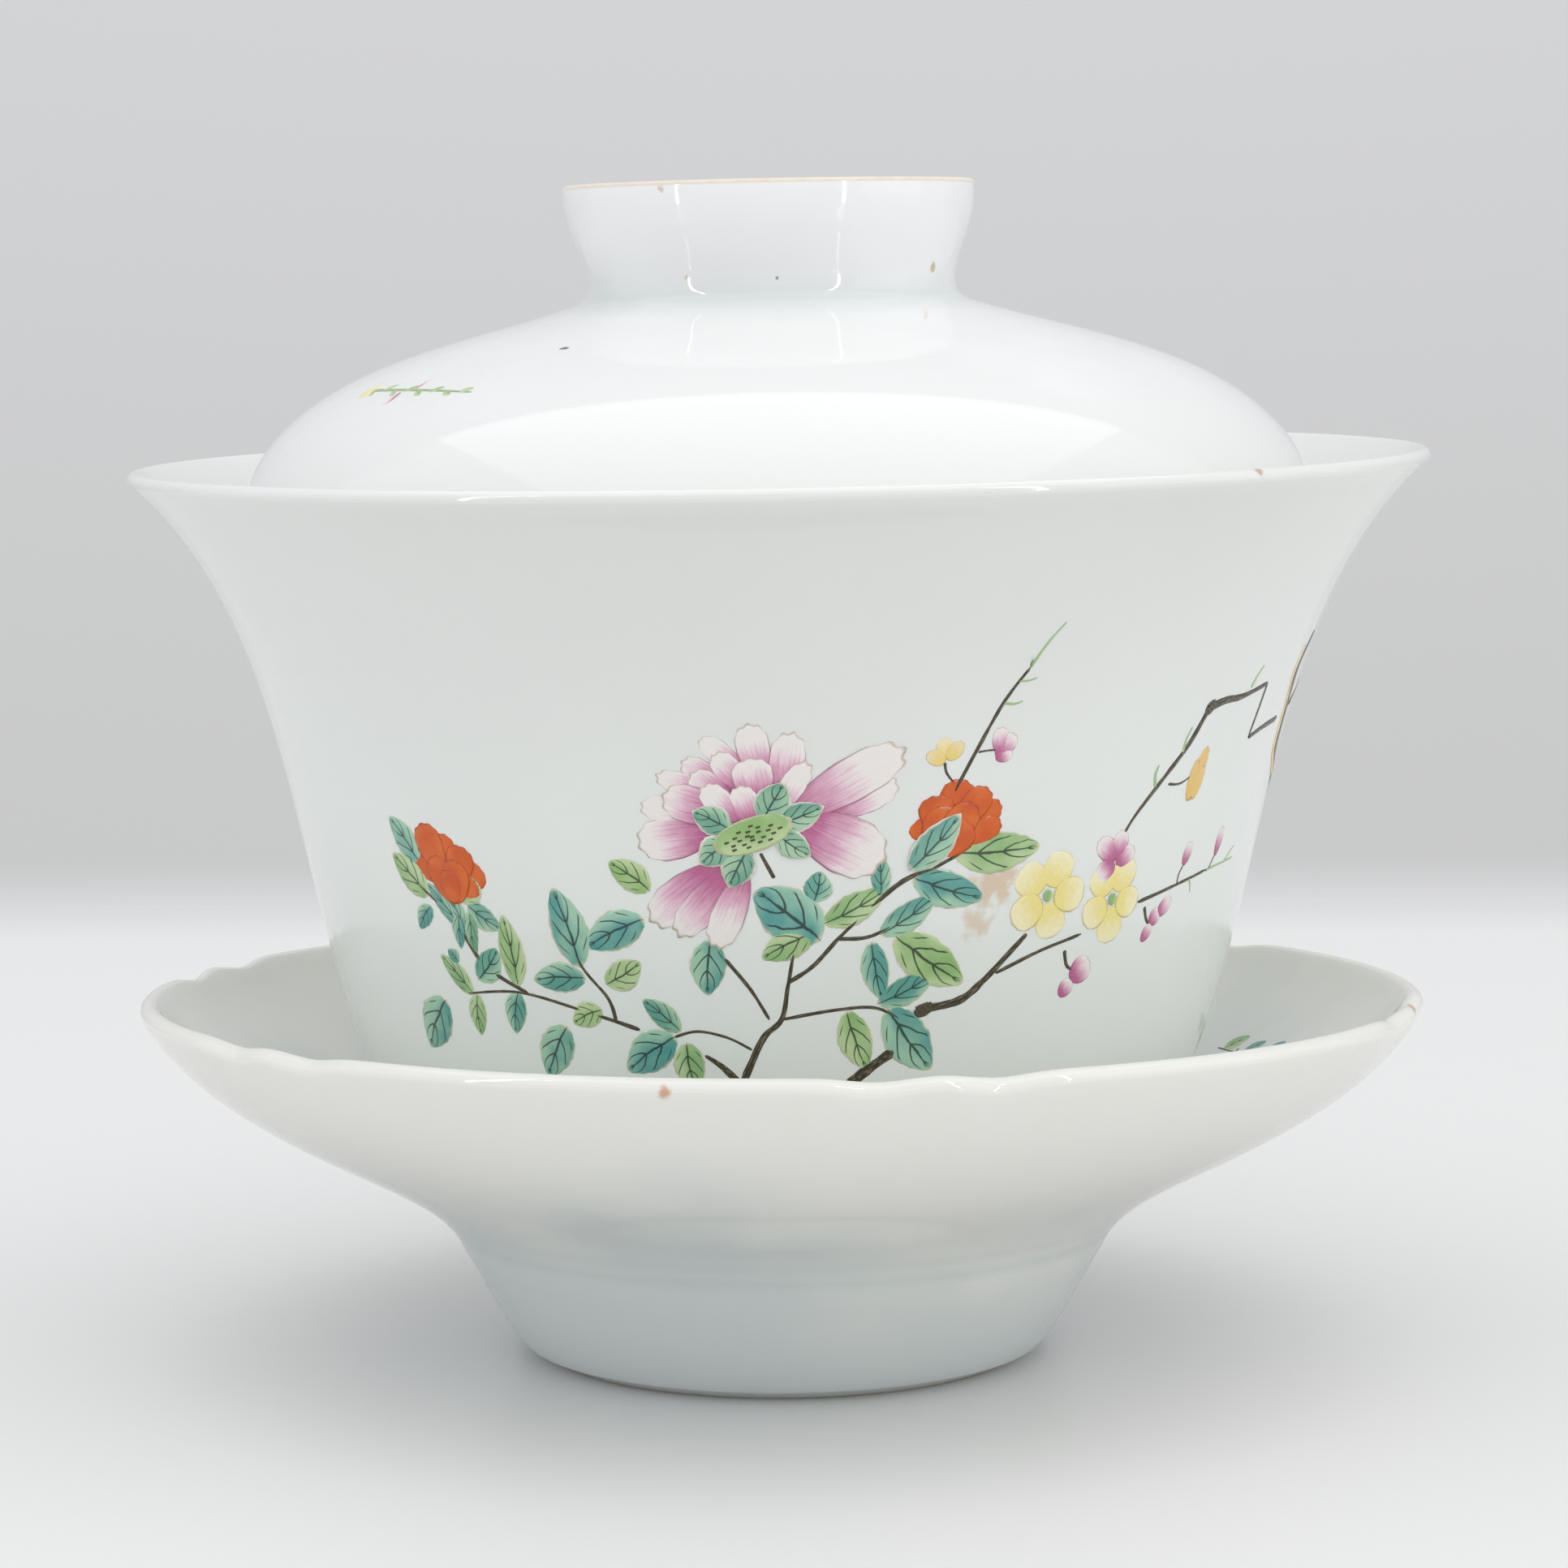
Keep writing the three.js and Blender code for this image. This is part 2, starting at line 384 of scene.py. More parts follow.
def glazed_porcelain(name, white, low, turns, stains):
    """White porcelain under clear glaze, its colour blended with height from the low colour to the white
    one: painted light and shade for how brightly each part is lit, and on the saucer and bowl a cooler
    glaze tint below. A stain is a place, a reach and a colour.
    """
    material = surface(name, 0.05)
    shader = material.node_tree.nodes["Principled BSDF"]
    shader.inputs["IOR"].default_value = 1.5
    shader.inputs["Subsurface Weight"].default_value = 0.1
    shader.inputs["Subsurface Radius"].default_value = (1.0, 0.9, 0.8)
    shader.inputs["Subsurface Scale"].default_value = 1.2 * mm
    place = object_place(material)
    cloud = node(material, "TexNoise", {"Vector": place, "Scale": 30, "Detail": 3}).outputs[0]
    grain = node(material, "TexNoise", {"Vector": place, "Scale": 900, "Detail": 4}).outputs[0]
    marks = node(material, "Attribute", {}, attribute_name="glaze").outputs["Color"]
    marks = node(material, "SeparateColor", {0: marks})
    # painted light and shade: the height share picks between the low colour and the white one, partly
    # standing in for how brightly each part is lit
    high = calc(material, "MULTIPLY_ADD", cloud, 0.5, marks.outputs[2])
    colour = blend(material, eased(material, high, *turns), low, white)
    pooled = calc(material, "MULTIPLY", marks.outputs[1], 0.3)
    colour = blend(material, pooled, colour, tint(182, 204, 200))
    iron = node(material, "TexVoronoi", {"Vector": place, "Scale": 170}, feature="F1")
    chosen = node(material, "SeparateColor", {0: iron.outputs["Color"]})
    rare = eased(material, chosen.outputs[0], 0.994, 0.996)
    dot = eased(material, iron.outputs["Distance"], 0.05, 0.02)
    colour = blend(material, calc(material, "MULTIPLY", rare, dot), colour, tint(92, 74, 58))
    for spot, reach, stain in stains:
        away = node(material, "VectorMath", {0: place, 1: spot}, operation="DISTANCE").outputs["Value"]
        ragged = calc(material, "MULTIPLY_ADD", grain, -2.2 * reach, away)
        colour = blend(material, eased(material, ragged, 0, -0.8 * reach), colour, stain)
    patchy = calc(material, "MULTIPLY", cloud, grain)
    ragged = calc(material, "MULTIPLY_ADD", patchy, 0.5, marks.outputs[0])
    bare = eased(material, ragged, 0.55, 0.7)
    biscuit = blend(material, grain, tint(222, 208, 188), tint(240, 234, 222))
    singe = calc(material, "MULTIPLY", eased(material, ragged, 0.3, 0.55), 0.4)
    colour = blend(material, singe, colour, tint(214, 190, 158))
    join(material, "Base Color", blend(material, bare, colour, biscuit))
    rough = node(material, "MapRange", {"Value": bare, "To Min": 0.05, "To Max": 0.7}).outputs["Result"]
    join(material, "Roughness", rough)
    peel = node(material, "TexNoise", {"Vector": place, "Scale": 160, "Detail": 1}).outputs[0]
    height = calc(material, "MULTIPLY_ADD", grain, bare, peel)
    relief = node(material, "Bump", {"Height": height, "Strength": 0.12, "Distance": 0.05 * mm})
    join(material, "Normal", relief.outputs[0])
    return material


def around(radius, degrees, height):
    """A place at a radius, so many degrees from the front towards the right."""
    turn = math.radians(degrees)
    return Vector((radius * math.sin(turn), -radius * math.cos(turn), height))


rust = tint(176, 120, 82)
pale_rust = tint(206, 168, 140)
saucer_glaze = glazed_porcelain(
    "saucer_glaze",
    # painted shade: the low colour darkens and greys the foot and the dish's underside, partly the glaze's
    # cooler tint and partly shade
    tint(233, 233, 227),
    tint(210, 217, 216),
    (0.33, 0.5),
    [
        (saucer_warp(around(54.6 * mm, 78, 30.8 * mm)), 0.9 * mm, pale_rust),
        (saucer_warp(around(54.6 * mm, 74, 30.8 * mm)), 0.5 * mm, rust),
        (saucer_warp(around(54.6 * mm, -9, 30.1 * mm)), 0.6 * mm, pale_rust),
        (saucer_warp(around(54.2 * mm, 190, 30.8 * mm)), 0.9 * mm, pale_rust),
    ],
)
saucer = smooth_object("saucer_porcelain", saucer_clay, saucer_glaze)
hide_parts("saucer")
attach(saucer, "saucer")

# SAUCER PAINTING
# Three leafy twigs inside the dish, one to every second lobe, in enamels fired over the glaze. Each dab of
# enamel stands a few hundredths of a millimetre proud and its thin edge runs down into the glaze.
enamel_depth = 0.1 * mm
stroke_steps = 7
dish_girth = 46


def painted_on(outline, marks, girth, warp):
    """The rule that lays a flat drawing, across and up, on a thrown surface."""
    def lay(across, up, lift):
        step = min(max(bisect.bisect(marks, up), 1), len(marks) - 1)
        low, high = outline[step - 1], outline[step]
        share = (up - marks[step - 1]) / (marks[step] - marks[step - 1])
        along = (high - low).normalized()
        spot = low + (high - low) * share + Vector((along.z, 0, -along.x)) * lift
        turn = across / girth
        return warp(Vector((spot.x * math.sin(turn), -spot.x * math.cos(turn), spot.z)))
    return lay


def fresh_paint():
    """An empty group of dabs, with the marks that every dab carries."""
    paint = bmesh.new()
    paint.loops.layers.uv.new("brush")
    paint.verts.layers.float.new("tone")
    return paint


def dab(paint, lay, columns, rows, tone, shape):
    """One dab of enamel, a fine grid that its shape and then the surface move into place."""
    made = bmesh.ops.create_grid(paint, x_segments=columns, y_segments=rows, size=1, calc_uvs=True)
    layer = paint.verts.layers.float["tone"]
    for point in made["verts"]:
        across, up, lift = shape(point.co.x, (point.co.y + 1) / 2)
        point[layer] = tone
        point.co = lay(across, up, lift)


def flat(place):
    """A place of the flat drawing, across and up in mm."""
    return Vector((place[0] * mm, place[1] * mm, 0))


def flowing_line(knots, steps):
    """A soft line through all its knots."""
    line = []
    knots = [flat(knot) for knot in knots]
    for n, (start, end) in enumerate(zip(knots, knots[1:])):
        before = knots[max(n - 1, 0)]
        after = knots[min(n + 2, len(knots) - 1)]
        leave = start + (end - before) / 6
        arrive = end - (after - start) / 6
        line += geometry.interpolate_bezier(start, leave, arrive, end, steps + 1)[1 if line else 0:]
    return line


def stroke(paint, lay, knots, start_width, end_width, tone=0.0, level=0.0):
    """A brush stroke that swells and thins a little along its way."""
    line = flowing_line(knots, stroke_steps)
    last = len(line) - 1

    def shape(side, along):
        step = round(along * last)
        course = line[min(step + 1, last)] - line[max(step - 1, 0)]
        tremble = noise.noise(line[step] * 900) * 0.22
        width = (start_width + (end_width - start_width) * along) * (1 + tremble) * 0.45 * mm
        width *= 0.55 if step in (0, last) else 1
        spot = line[step] + Vector((course.y, -course.x, 0)).normalized() * side * width
        return spot.x, spot.y, (level + 0.035 * (1 - side * side) - 0.008) * mm

    dab(paint, lay, 4, last, tone, shape)


def leaf(paint, lay, base, tip, half_width, tone, bend=0.0, level=0.0):
    """A pointed leaf from base to tip, bent to one side; its thin outer margin takes the kiln's halo."""
    start, end = flat(base), flat(tip)
    course = (end - start) * 1.08
    start = start - course * 0.04
    aside = Vector((course.y, -course.x, 0)).normalized() * mm

    def shape(side, along):
        swell = math.sin(math.pi * along ** 0.85) ** 0.8 if 0 < along < 1 else 0
        toothed = 1.24 + 0.04 * math.sin(along * 34) * abs(side)
        middle = start + course * along + aside * bend * math.sin(math.pi * along)
        spot = middle + aside * side * half_width * swell * toothed
        return spot.x, spot.y, (level + 0.04 * (1 - side ** 4) * swell - 0.006) * mm

    dab(paint, lay, 8, 14, tone, shape)


def petal(paint, lay, base, tip, half_width, tone=0.0, level=0.0, fan=0.0, frill=0.0, fine=10):
    """A round petal from base to tip; fan widens its far end and frill waves its rim."""
    start, end = flat(base), flat(tip)
    middle = (start + end) / 2
    reach = (end - start) / 2
    aside = Vector((reach.y, -reach.x, 0)).normalized() * half_width * mm

    def shape(side, along):
        rise = 2 * along - 1
        x = side * math.sqrt(1 - rise * rise / 2)
        y = rise * math.sqrt(1 - side * side / 2)
        edge = max(abs(side), abs(rise))
        wave = 1 + frill * edge ** 3 * math.sin(12 * math.atan2(x, y) + start.x * 3000) * max(y + 0.3, 0)
        spot = middle + (reach * y + aside * x * (1 + fan * y)) * wave
        return spot.x, spot.y, (level + 0.022 * (1 - edge ** 6) - 0.004) * mm

    dab(paint, lay, fine, fine, tone, shape)


def brush_place(material):
    """Where on its dab a point lies: across and along, both from 0 to 1."""
    layer = node(material, "UVMap", {}, uv_map="brush").outputs[0]
    return node(material, "SeparateXYZ", {0: layer}).outputs[:2]


def from_middle(material, value):
    """How far a value from 0 to 1 is from its middle."""
    return calc(material, "ABSOLUTE", calc(material, "SUBTRACT", value, 0.5))


def mottle(material, scale, detail=2):
    """Uneven clouds, finer at a greater scale."""
    place = object_place(material)
    return node(material, "TexNoise", {"Vector": place, "Scale": scale, "Detail": detail}).outputs[0]


def brushed(material, fine_across, fine_along, scale, tone):
    """Hair marks drawn along the dab by the brush."""
    across, along = brush_place(material)
    wide = calc(material, "MULTIPLY", across, fine_across)
    long = calc(material, "MULTIPLY", along, fine_along)
    place = node(material, "CombineXYZ", {0: wide, 1: long, 2: tone}).outputs[0]
    return node(material, "TexNoise", {"Vector": place, "Scale": scale, "Detail": 3}).outputs[0]


def tone_of(material):
    """The tone that was given to the dab."""
    return node(material, "Attribute", {}, attribute_name="tone").outputs["Fac"]


def to_edge(material):
    """How near the rim of its dab a point is, 0.5 at the rim."""
    across, along = brush_place(material)
    return calc(material, "MAXIMUM", from_middle(material, across), from_middle(material, along))


def fired(material, colour, bump, depth=0.04):
    """Finishes an enamel: its colour and the small relief of brushed paint."""
    join(material, "Base Color", colour)
    relief = node(material, "Bump", {"Height": bump, "Strength": 0.5, "Distance": depth * mm})
    join(material, "Normal", relief.outputs[0])
    return material


def leaf_paint():
    """Translucent blue-green and yellow-green with ink veins and a brownish halo at the edge."""
    material = surface("leaf_enamel", 0.16)
    tone = tone_of(material)
    across, along = brush_place(material)
    shake = calc(material, "MULTIPLY_ADD", mottle(material, 600), 0.12, -0.06)
    away = from_middle(material, calc(material, "ADD", across, shake))
    deep = blend(material, tone, tint(142, 182, 112), tint(78, 152, 150))
    light = blend(material, tone, tint(190, 211, 158), tint(158, 202, 178))
    patch = calc(material, "MULTIPLY_ADD", across, 0.5, mottle(material, 330))
    wash = calc(material, "ADD", patch, calc(material, "MULTIPLY", away, 0.5))
    colour = blend(material, eased(material, wash, 0.6, 1.15), deep, light)
    rib = eased(material, away, calc(material, "MULTIPLY_ADD", along, -0.02, 0.05), 0.015)
    forward = calc(material, "MULTIPLY", calc(material, "POWER", away, 1.35), -4.4)
    forward = calc(material, "MULTIPLY_ADD", along, 3.6, forward)
    spacing = calc(material, "PINGPONG", calc(material, "ADD", forward, shake), 0.5)
    vein = eased(material, spacing, 0.1, 0.035)
    vein = calc(material, "MULTIPLY", vein, eased(material, away, 0.4, 0.36))
    vein = calc(material, "MULTIPLY", vein, eased(material, along, 0.16, 0.24))
    vein = calc(material, "MULTIPLY", vein, eased(material, along, 0.93, 0.88))
    rib = calc(material, "MULTIPLY", rib, eased(material, along, 0.96, 0.9))
    ink = calc(material, "MAXIMUM", vein, rib)
    veined = calc(material, "GREATER_THAN", tone, -0.05)
    ink = calc(material, "MULTIPLY", ink, veined)
    edge = calc(material, "MAXIMUM", away, from_middle(material, along))
    edge = calc(material, "MULTIPLY_ADD", shake, 0.15, edge)
    edge = calc(material, "MULTIPLY", edge, calc(material, "MULTIPLY_ADD", veined, 0.06, 0.94))
    halo = calc(material, "MULTIPLY", eased(material, edge, 0.41, 0.45), 0.8)
    colour = blend(material, halo, colour, tint(204, 198, 168))
    margin = calc(material, "MULTIPLY", eased(material, edge, 0.435, 0.49), veined)
    colour = blend(material, margin, colour, tint(231, 231, 226))
    colour = blend(material, calc(material, "MULTIPLY", ink, 0.9), colour, tint(34, 46, 42))
    return fired(material, colour, calc(material, "MULTIPLY_ADD", ink, -0.5, wash))


def line_paint():
    """Brown-black ink strokes with dry streaks, running out to leaf green on young twigs."""
    material = surface("line_enamel", 0.3)
    tone = tone_of(material)
    across = brush_place(material)[0]
    streak = brushed(material, 4, 9, 1.3, 0)
    ink = blend(material, eased(material, streak, 0.46, 0.66), tint(50, 44, 32), tint(122, 112, 86))
    young = blend(material, streak, tint(132, 168, 108), tint(186, 210, 160))
    rim = calc(material, "MULTIPLY", eased(material, from_middle(material, across), 0.36, 0.5), 0.5)
    colour = blend(material, tone, blend(material, rim, ink, tint(132, 124, 100)), young)
    return fired(material, colour, streak)


def rose_paint():
    """Rose enamel brushed out from the base of each petal into thick white, in fine strokes."""
    material = surface("rose_enamel", 0.2)
    tone = tone_of(material)
    along = brush_place(material)[1]
    hair = brushed(material, 26, 2.6, 1, tone)
    far = calc(material, "MULTIPLY_ADD", hair, 0.5, calc(material, "SUBTRACT", along, tone))
    shake = calc(material, "MULTIPLY_ADD", mottle(material, 900, 4), 0.24, -0.12)
    far = calc(material, "ADD", far, shake)
    colour = blend(material, eased(material, far, 0.32, 0.86), tint(186, 98, 142), tint(228, 184, 205))
    colour = blend(material, eased(material, far, 0.7, 1.06), colour, tint(240, 234, 231))
    edge = to_edge(material)
    outline = calc(material, "MULTIPLY", eased(material, edge, 0.455, 0.485), 0.75)
    ink = blend(material, eased(material, along, 0.5, 0.95), tint(148, 100, 116), tint(196, 176, 158))
    colour = blend(material, outline, colour, ink)
    return fired(material, colour, calc(material, "ADD", hair, mottle(material, 2600, 1)), 0.07)


leaf_enamel = leaf_paint()
line_enamel = line_paint()
rose_enamel = rose_paint()


def enamel(name, paint, material, body):
    """Gives a group of dabs its thickness and fixes it to the piece it is painted on."""
    bmesh.ops.remove_doubles(paint, verts=paint.verts, dist=0.0004 * mm)
    bmesh.ops.solidify(paint, geom=paint.faces[:], thickness=enamel_depth)
    made = smooth_object(name, paint, material)
    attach(made, body)
    return made


def leafy_twig(line, leaves, lay, start, end, arch, count, size, tone):
    """A twig with leaves on alternate sides, smaller towards its tip."""
    start, end = Vector(start), Vector(end)
    course = end - start
    aside = Vector((course.y, -course.x)).normalized()
    knots = [start + course * t + aside * arch * math.sin(math.pi * t) for t in (0, 0.25, 0.5, 0.75, 1)]
    stroke(line, lay, knots, 0.1 * size, 0.05 * size)
    for number in range(count):
        share = (number + 0.6) / count
        root = start + course * share + aside * arch * math.sin(math.pi * share)
        side = 1 if number % 2 else -1
        reach = size * (1 - 0.35 * share)
        tip = root + course.normalized() * reach * 0.6 + aside * side * reach * 0.75
        leaf(leaves, lay, root, tip, reach * 0.33, tone if number % 3 else 1 - tone, 0.1 * side)
    leaf(leaves, lay, end, end + course.normalized() * size * 0.7, size * 0.2, tone)


rim_to_well = list(reversed(dish_inside))
from_rim = [0.0]
for before, after in zip(rim_to_well, rim_to_well[1:]):
    from_rim.append(from_rim[-1] + (after - before).length)
on_dish = painted_on(rim_to_well, from_rim, dish_girth * mm, saucer_warp)

line, leaves, rose = fresh_paint(), fresh_paint(), fresh_paint()
for lobe in range(3):
    across = (109 + 120 * lobe) * math.radians(dish_girth)
    leafy_twig(line, leaves, on_dish, (across + 5, 12.4), (across - 5, 10.2), 0.8, 6, 3.0, 0.9)
    stroke(line, on_dish, [(across + 2, 11.8), (across + 1.5, 13.4), (across + 2, 15)], 0.3, 0.18)
    petal(rose, on_dish, (across + 2, 14.8), (across + 3, 16.6), 0.7, 0.1)
    petal(rose, on_dish, (across + 1.8, 14.8), (across + 0.8, 16.4), 0.6, 0.1)
enamel("saucer_painted_twigs", line, line_enamel, "saucer")
enamel("saucer_painted_leaves", leaves, leaf_enamel, "saucer")
enamel("saucer_painted_buds", rose, rose_enamel, "saucer")

# BOWL
# Thin thrown porcelain on a low foot ring: a rounded belly, nearly straight sides, and a mouth that flares
# out to a fine lip. The kiln left it leaning a little forward and to the left.
bowl_low, bowl_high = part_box("bowl")
bowl_base = bowl_low.z
bowl_top = bowl_high.z
bowl_wall = 2.2 * mm
bowl_lip = 1.4 * mm
bowl_foot_radius = 21.5 * mm
bowl_ring_inside = 18.5 * mm
bowl_recess = bowl_base + 4 * mm
bowl_floor = bowl_base + 7.2 * mm
bowl_ring_edge = 0.5 * mm
bowl_floor_bevel = 1.2 * mm
bowl_girth = 41 * mm
lean_forward = math.tan(math.radians(1.67))
lean_left = math.tan(math.radians(0.8))

bowl_outside = drawn_curve(
    [(21.5, 11.6), (27, 13.5), (32.5, 18.6), (35.2, 25), (41.5, 39.7), (41.3, 63.4), (54.7, 75.6)], 40
)
bowl_inside = inner_wall(bowl_outside, bowl_wall, bowl_lip)
bowl_outline = softened_corners(
    [
        corner(0, bowl_recess),
        corner(bowl_ring_inside - ring_bevel, bowl_recess),
        corner(bowl_ring_inside, bowl_recess - ring_bevel),
        corner(bowl_ring_inside + ring_taper, bowl_base),
        corner(bowl_foot_radius - bowl_ring_edge, bowl_base),
        corner(bowl_foot_radius, bowl_base + bowl_ring_edge),
        *bowl_outside,
        *rounded(bowl_outside[-1], bowl_inside[-1]),
        *(place for place in reversed(bowl_inside) if place.z > bowl_floor + bowl_floor_bevel),
        corner(20 * mm, bowl_floor + 0.3 * mm),
        corner(0, bowl_floor),
    ],
    0.5 * mm,
)


def kiln_lean(place):
    """The kiln's warp: the bowl's foot stays flat and its rim tips forward and to the left."""
    raised = min(max((place.z - bowl_base) / (bowl_top - bowl_base), 0), 1)
    return place + Vector((0, 0, raised * (lean_left * place.x + lean_forward * place.y)))


bowl_clay = thrown(
    bowl_outline,
    288,
    kiln_lean,
    lambda radius, height: height < bowl_base + 0.4 * mm,
    lambda radius, height: hollow(height, bowl_base + 5 * mm, 2 * mm),
)
on_bowl = painted_on(bowl_outside, [place.z for place in bowl_outside], bowl_girth, kiln_lean)
bowl_glaze = glazed_porcelain(
    "bowl_glaze",
    # painted light: the low colour is paler than the top one, lifting the lower belly that the dish shades,
    # together with a cooler glaze tint
    tint(226, 228, 225),
    tint(234, 239, 236),
    (0.45, 1.1),
    [
        (kiln_lean(around(54.4 * mm, 41.5, 76.4 * mm)), 0.55 * mm, rust),
        (kiln_lean(around(54.2 * mm, 14, 76.5 * mm)), 0.4 * mm, pale_rust),
        (kiln_lean(around(54.3 * mm, 212, 76.4 * mm)), 0.6 * mm, pale_rust),
        (on_bowl(17 * mm, 45 * mm, 0), 2.4 * mm, tint(218, 198, 176)),
        (on_bowl(15.8 * mm, 41.8 * mm, 0), 1.5 * mm, tint(220, 206, 188)),
    ],
)
bowl = smooth_object("bowl_porcelain", bowl_clay, bowl_glaze)
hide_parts("bowl")
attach(bowl, "bowl")

# BOWL, PAINTED BRANCHES
# The stems of the flower spray, drawn with a loaded brush in brown-black enamel: thick and dry at the
# trunks, hair-thin at the twigs, young tips in green. Sizes are round the belly and up from the table.
heart_place = Vector((-2.1, 49.4))
heart_marks = 22
sunflower_turn = 2.39996
line = fresh_paint()
for knots, start_width, end_width in (
    ([(-5, 26), (-3, 30), (-1.5, 33), (0, 34.5), (0.5, 37), (1, 40)], 0.95, 0.3),
    ([(0.5, 37.5), (2.5, 38.8), (4.5, 41), (6, 42.5)], 0.5, 0.35),
    ([(-4.5, 39.5), (-2.5, 37), (-1, 34.5)], 0.45, 0.3),
    ([(0, 34.5), (4.5, 35.2), (8, 35.2), (11, 33.5)], 0.35, 0.35),
    ([(4.5, 41), (6.5, 41), (8, 41.5), (9.5, 42.5)], 0.45, 0.25),
    ([(-9, 33), (-7, 33.5), (-4.5, 33), (-2.5, 32)], 0.3, 0.3),
    ([(-3.5, 29), (-5, 30.5), (-6.5, 31.5)], 1.0, 0.4),
    ([(4.4, 27.5), (6.5, 29.5), (9.5, 31.6)], 1.3, 1.1),
    ([(7, 43.5), (9.5, 45.5), (12, 46.5), (14, 47.5)], 0.6, 0.35),
    ([(-12, 33.5), (-15.5, 34.5), (-22.5, 36), (-28.5, 35.5)], 0.45, 0.25),
    ([(-14, 34), (-14.5, 36), (-16.5, 38.5), (-17.5, 41.5)], 0.45, 0.25),
    ([(-22, 36), (-26, 38), (-28, 41), (-28.5, 43.5)], 0.45, 0.6),
    ([(-28.5, 42), (-31.5, 44), (-32.5, 47)], 0.4, 0.2),
    ([(-1.5, 48), (-1, 47), (-0.5, 46)], 0.3, 0.45),
    ([(12, 35), (15, 35.5), (17, 37), (19, 39), (20.5, 40.5)], 1.0, 0.5),
    ([(18, 37.5), (22, 39), (26, 40)], 0.45, 0.35),
    ([(24.5, 38.8), (25, 37.5), (26, 37)], 0.5, 0.2),
    ([(29, 48), (30, 49.5), (32.5, 52.3), (34.5, 54.6), (36, 57.4)], 0.35, 0.75),
    ([(36, 57.4), (38, 57.8), (40.5, 57.9), (44.5, 58.6)], 1.0, 0.5),
    ([(44.5, 58.5), (44.3, 56.5), (43.8, 54.2)], 0.5, 0.5),
    ([(43.8, 54.2), (46.5, 54.8), (50, 55.2)], 0.5, 0.7),
    ([(32, 42), (37, 42.9), (41.5, 43.6)], 0.45, 0.3),
    ([(33, 51.5), (34.5, 51.4), (36, 52)], 0.3, 0.2),
    ([(33, 41.5), (33.5, 40.5), (34, 40)], 0.5, 0.3),
    ([(13, 52.5), (14.5, 56), (16, 59.5), (17.5, 62)], 0.42, 0.3),
    ([(14.5, 55.5), (15.3, 55.6), (16.2, 55.6)], 0.25, 0.2),
    ([(12, 54.8), (12.2, 54), (12.8, 53.2)], 0.3, 0.2),
    ([(37, 43), (37, 43.7), (37.4, 44.4)], 0.3, 0.2),
    ([(42, 43.6), (42.4, 44.3), (42.8, 44.9)], 0.3, 0.2),
):
    stroke(line, on_bowl, knots, start_width, end_width)
for knots, width in (
    ([(17.5, 62), (18.5, 64), (19.5, 65.5)], 0.32),
    ([(16, 59.3), (16.8, 59.2), (17.4, 59.4)], 0.3),
    ([(16.8, 61), (17.6, 61), (18.2, 61.2)], 0.3),
    ([(41.5, 43.6), (44, 43.8), (47, 44)], 0.35),
    ([(45, 43.8), (45.8, 44.4), (46.8, 45)], 0.35),
    ([(34, 53.8), (34, 55), (34.4, 56)], 0.5),
    ([(31.5, 51.4), (31.2, 52.4), (31.4, 53.2)], 0.5),
    ([(41.5, 58.5), (42, 59.5), (42.6, 60.2)], 0.5),
    ([(38.8, 43.2), (39.2, 42.6), (39.4, 42)], 0.3),
):
    stroke(line, on_bowl, knots, width, width * 0.5, 1.0)
for knot in range(9):
    turn = knot * 2.4
    spot = Vector((11.8 + 0.45 * math.cos(turn), 34.9 + 0.35 * math.sin(turn)))
    knots = [spot - Vector((0.3, 0.1)), spot, spot + Vector((0.3, 0.12))]
    stroke(line, on_bowl, knots, 0.35, 0.3, 0, 0.02)
petal(line, on_bowl, (11.1, 34.5), (12.7, 35.3), 0.55, 0, 0.01, 0, 0.08)
petal(line, on_bowl, (35.6, 56.9), (36.6, 57.9), 0.55, 0, 0.01, 0, 0.08)
for mark in range(heart_marks):
    turn = mark * sunflower_turn
    reach = math.sqrt(mark / heart_marks)
    aside, rise = reach * math.cos(turn), reach * math.sin(turn)
    spot = heart_place + Vector((2.15 * aside, 0.95 * rise + 0.6 * aside))
    knots = [spot - Vector((0.17, 0.05)), spot, spot + Vector((0.17, 0.07))]
    stroke(line, on_bowl, knots, 0.22, 0.17, 0, 0.215)

